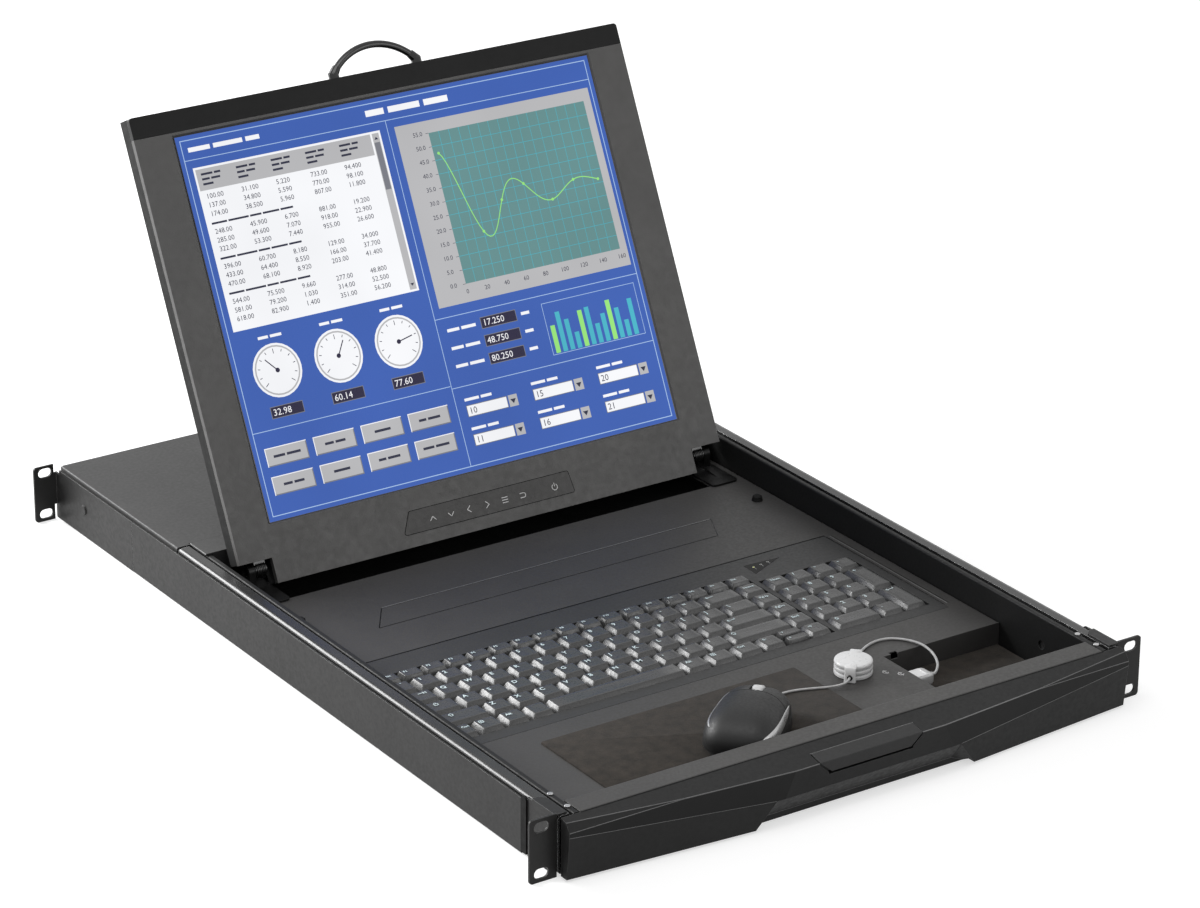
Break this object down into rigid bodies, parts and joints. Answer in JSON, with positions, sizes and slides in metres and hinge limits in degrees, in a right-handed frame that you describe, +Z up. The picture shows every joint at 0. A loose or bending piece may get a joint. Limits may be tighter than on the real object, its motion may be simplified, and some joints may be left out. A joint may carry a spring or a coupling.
{
  "type": "rackmount lcd console drawer",
  "caption": "Rackmount drawer with a fold-up screen, keyboard, mouse tray and corded mouse on telescopic slides.",
  "frame": {"origin": "centre of the four slots in the front ears, on the ears' front face", "axes": "+X to the right seen from the front, +Y into the rack, +Z up"},
  "size_m": [0.4826, 0.6794, 0.3417],
  "materials": {
    "dark_sheet": "satin",
    "zinc_steel": "satin",
    "deck_paint": "satin",
    "bezel_plastic": "satin",
    "black_rubber": "matte",
    "key_plastic": "matte",
    "screen_front": "satin",
    "gloss_black": "gloss",
    "screen_glass": "gloss",
    "suede": "matte",
    "grey_plastic": "satin",
    "white_plastic": "gloss",
    "cord_white": "satin",
    "lens": "gloss",
    "socket_black": "matte"
  },
  "bodies": {
    "frame": {"slide_outer_left": "dark_sheet", "slide_outer_right": "dark_sheet", "side_plate_left": "dark_sheet", "side_plate_right": "dark_sheet", "front_bracket_left": "dark_sheet", "front_bracket_right": "dark_sheet", "end_strips": "black_rubber", "rear_cover": "dark_sheet", "rear_base": "dark_sheet", "rear_sockets": "socket_black", "chassis_fasteners": "zinc_steel"},
    "rear_ear_left": {"rear_bracket_left": "dark_sheet"},
    "rear_ear_right": {"rear_bracket_right": "dark_sheet"},
    "middle_slide_left": {"slide_mid_left": "zinc_steel"},
    "middle_slide_right": {"slide_mid_right": "zinc_steel"},
    "drawer": {"slide_inner_left": "zinc_steel", "slide_inner_right": "zinc_steel", "drawer_tray": "dark_sheet", "deck": "deck_paint", "front_strip": "dark_sheet", "sub_cover": "dark_sheet", "bumpers": "black_rubber", "hinge_feet": "zinc_steel", "keyboard_frame": "deck_paint", "light_window": "lens", "mouse_pad": "suede", "bay_pad": "suede", "bay_socket": "socket_black", "bezel": "bezel_plastic", "drawer_fasteners": "zinc_steel", "mouse_base": "grey_plastic", "mouse_shell": "grey_plastic", "reel": "white_plastic", "usb_plug": "white_plastic", "cord_mouse": "cord_white", "cord_plug": "cord_white"},
    "latch": {"latch": "bezel_plastic"},
    "screen": {"lcd_front": "screen_front", "lcd_top_strip": "screen_front", "lcd_glass": "screen_glass", "lcd_module": "zinc_steel", "lcd_shell": "dark_sheet", "lcd_seam": "black_rubber", "osd_overlay": "screen_front", "lcd_handle": "gloss_black", "hinge_arms": "zinc_steel"},
    "mouse_button_left": {"mouse_button_left": "grey_plastic"},
    "mouse_button_right": {"mouse_button_right": "grey_plastic"},
    "mouse_wheel": {"mouse_wheel": "white_plastic"},
    "keys_function": {"keys_function": "key_plastic"},
    "keys_digit": {"keys_digit": "key_plastic"},
    "keys_upper": {"keys_upper": "key_plastic"},
    "keys_home": {"keys_home": "key_plastic"},
    "keys_lower": {"keys_lower": "key_plastic"},
    "keys_modifier": {"keys_modifier": "key_plastic"},
    "key_space": {"key_space": "key_plastic"},
    "keys_arrow": {"keys_arrow": "key_plastic"},
    "keys_pad": {"keys_pad": "key_plastic"}
  },
  "joints": [
    {"name": "drawer_slide", "type": "slide", "parent": "frame", "child": "drawer", "axis": [0, -1, 0], "range_m": [0, 0.44]},
    {"name": "middle_left_slide", "type": "slide", "parent": "frame", "child": "middle_slide_left", "axis": [0, -1, 0], "range_m": [0, 0.22]},
    {"name": "middle_right_slide", "type": "slide", "parent": "frame", "child": "middle_slide_right", "axis": [0, -1, 0], "range_m": [0, 0.22]},
    {"name": "rear_ear_left_slide", "type": "slide", "parent": "frame", "child": "rear_ear_left", "axis": [0, 1, 0], "range_m": [0, 0.08]},
    {"name": "rear_ear_right_slide", "type": "slide", "parent": "frame", "child": "rear_ear_right", "axis": [0, 1, 0], "range_m": [0, 0.08]},
    {"name": "screen_hinge", "type": "hinge", "parent": "drawer", "child": "screen", "pos_m": [0, 0.42979, 0.0121], "axis": [1, 0, 0], "range_deg": [-14, 116]},
    {"name": "latch_press", "type": "hinge", "parent": "drawer", "child": "latch", "pos_m": [0, -0.0137, 0.0126], "axis": [1, 0, 0], "range_deg": [0, 6], "stiffness_Nm_per_rad": 1.2, "springref_deg": -5.73},
    {"name": "left_click", "type": "hinge", "parent": "drawer", "child": "mouse_button_left", "pos_m": [-0.02788, 0.06305, 0.0165], "axis": [-0.6428, 0.766, 0], "range_deg": [0, 2], "stiffness_Nm_per_rad": 0.6, "springref_deg": -2.86},
    {"name": "right_click", "type": "hinge", "parent": "drawer", "child": "mouse_button_right", "pos_m": [-0.02788, 0.06305, 0.0165], "axis": [-0.6428, 0.766, 0], "range_deg": [0, 2], "stiffness_Nm_per_rad": 0.6, "springref_deg": -2.86},
    {"name": "wheel_spin", "type": "hinge", "parent": "drawer", "child": "mouse_wheel", "pos_m": [-0.02093, 0.06889, 0.01885], "axis": [-0.6428, 0.766, 0], "continuous": true},
    {"name": "keys_function_press", "type": "slide", "parent": "drawer", "child": "keys_function", "axis": [0, 0, -1], "range_m": [0, 0.0025], "stiffness_N_per_m": 500, "springref_m": -0.0015},
    {"name": "keys_digit_press", "type": "slide", "parent": "drawer", "child": "keys_digit", "axis": [0, 0, -1], "range_m": [0, 0.0025], "stiffness_N_per_m": 500, "springref_m": -0.0015},
    {"name": "keys_upper_press", "type": "slide", "parent": "drawer", "child": "keys_upper", "axis": [0, 0, -1], "range_m": [0, 0.0025], "stiffness_N_per_m": 500, "springref_m": -0.0015},
    {"name": "keys_home_press", "type": "slide", "parent": "drawer", "child": "keys_home", "axis": [0, 0, -1], "range_m": [0, 0.0025], "stiffness_N_per_m": 500, "springref_m": -0.0015},
    {"name": "keys_lower_press", "type": "slide", "parent": "drawer", "child": "keys_lower", "axis": [0, 0, -1], "range_m": [0, 0.0025], "stiffness_N_per_m": 500, "springref_m": -0.0015},
    {"name": "keys_modifier_press", "type": "slide", "parent": "drawer", "child": "keys_modifier", "axis": [0, 0, -1], "range_m": [0, 0.0025], "stiffness_N_per_m": 500, "springref_m": -0.0015},
    {"name": "key_space_press", "type": "slide", "parent": "drawer", "child": "key_space", "axis": [0, 0, -1], "range_m": [0, 0.0025], "stiffness_N_per_m": 500, "springref_m": -0.0015},
    {"name": "keys_arrow_press", "type": "slide", "parent": "drawer", "child": "keys_arrow", "axis": [0, 0, -1], "range_m": [0, 0.0025], "stiffness_N_per_m": 500, "springref_m": -0.0015},
    {"name": "keys_pad_press", "type": "slide", "parent": "drawer", "child": "keys_pad", "axis": [0, 0, -1], "range_m": [0, 0.0025], "stiffness_N_per_m": 500, "springref_m": -0.0015}
  ],
  "couplings": [
    {"joint": "middle_left_slide", "follows": "drawer_slide", "ratio": 0.5},
    {"joint": "middle_right_slide", "follows": "drawer_slide", "ratio": 0.5}
  ]
}
